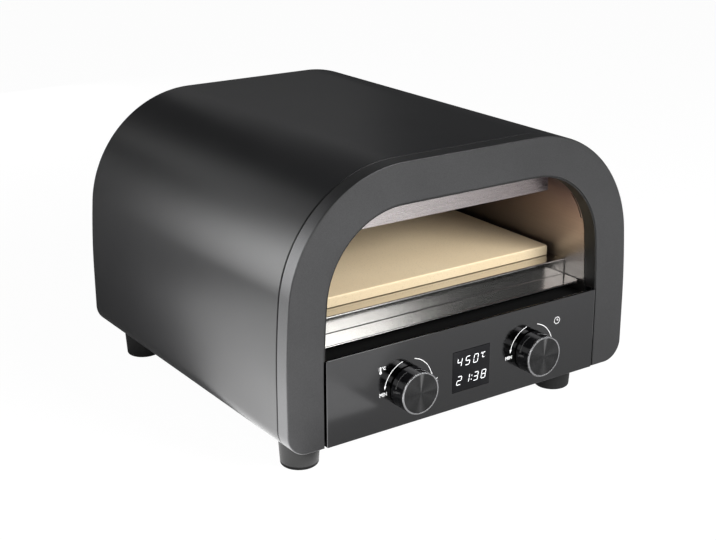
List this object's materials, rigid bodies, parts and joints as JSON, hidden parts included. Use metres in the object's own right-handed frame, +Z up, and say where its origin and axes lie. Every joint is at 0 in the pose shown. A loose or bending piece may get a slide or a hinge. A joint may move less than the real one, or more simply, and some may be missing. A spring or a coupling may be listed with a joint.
{
  "type": "countertop electric pizza oven",
  "caption": "Countertop electric pizza oven with an open arched mouth, a pull-out baking stone over a steel sill, rotary dials and a digital display on its front panel, and rubber feet.",
  "frame": {"origin": "on the ground, under the middle of the overall box", "axes": "+Z up, +X to the right seen from the front, the front with its mouth and dials faces -Y"},
  "size_m": [0.44, 0.458, 0.302],
  "materials": {
    "shell_black": "satin",
    "frame_graphite": "satin",
    "panel_graphite": "semi-gloss",
    "trim_black": "matte",
    "window_black": "gloss",
    "knob_black": "gloss",
    "knob_face": "spun, dark anodised",
    "sill_steel": "brushed",
    "chamber_steel": "heat-tinted",
    "chassis_steel": "galvanised",
    "heater_steel": "oxidised",
    "screw_steel": "plain",
    "stone_beige": "matte",
    "fibre_white": "matte",
    "foot_rubber": "matte",
    "ceramic_white": "matte",
    "module_white": "matte",
    "board_green": "satin",
    "component_black": "matte",
    "inlet_black": "matte",
    "fan_black": "matte",
    "contact_brass": "plain"
  },
  "bodies": {
    "casing": {"outer_shell": "shell_black", "front_frame": "frame_graphite", "front_bulkhead": "trim_black", "mouth_ring": "trim_black", "frame_screws": "screw_steel", "control_panel": "panel_graphite", "air_trough": "trim_black", "display_window": "window_black", "display_module": "module_white", "display_board": "board_green", "temperature_encoder": "screw_steel", "timer_encoder": "screw_steel", "encoder_nuts": "screw_steel", "front_sill": "sill_steel", "stone_rack": "sill_steel", "lintel": "chamber_steel", "chamber_liner": "chamber_steel", "rear_liner": "chamber_steel", "upper_heater": "heater_steel", "lower_heater": "heater_steel", "heater_clips": "chassis_steel", "heater_insulators": "ceramic_white", "heater_pan": "chassis_steel", "insulation_blanket": "fibre_white", "floor_insulation": "fibre_white", "rear_insulation": "fibre_white", "mid_plate": "chassis_steel", "left_rail": "chassis_steel", "right_rail": "chassis_steel", "base_plate": "chassis_steel", "front_left_foot": "foot_rubber", "front_right_foot": "foot_rubber", "rear_left_foot": "foot_rubber", "rear_right_foot": "foot_rubber", "foot_screws": "screw_steel", "rear_panel": "shell_black", "rear_screws": "screw_steel", "power_inlet": "inlet_black", "inlet_pins": "contact_brass", "terminal_block": "ceramic_white", "power_board": "board_green", "board_components": "component_black", "fan_frame": "fan_black", "fan_guard": "screw_steel", "temperature_probe": "screw_steel", "safety_thermostat": "component_black"},
    "temperature_dial": {"temperature_knob": "knob_black", "temperature_cap": "knob_face", "temperature_shaft": "screw_steel"},
    "timer_dial": {"timer_knob": "knob_black", "timer_cap": "knob_face", "timer_shaft": "screw_steel"},
    "stone": {"pizza_stone": "stone_beige"},
    "fan": {"fan_rotor": "fan_black", "fan_axle": "screw_steel"}
  },
  "joints": [
    {"name": "temperature_turn", "type": "hinge", "parent": "casing", "child": "temperature_dial", "pos_m": [-0.078, -0.229, 0.068], "axis": [0, -1, 0], "continuous": true},
    {"name": "timer_turn", "type": "hinge", "parent": "casing", "child": "timer_dial", "pos_m": [0.085, -0.229, 0.068], "axis": [0, -1, 0], "continuous": true},
    {"name": "stone_slide", "type": "slide", "parent": "casing", "child": "stone", "axis": [0, -1, 0], "range_m": [0, 0.43]},
    {"name": "fan_spin", "type": "hinge", "parent": "casing", "child": "fan", "pos_m": [-0.075, 0.209, 0.068], "axis": [0, -1, 0], "continuous": true}
  ]
}
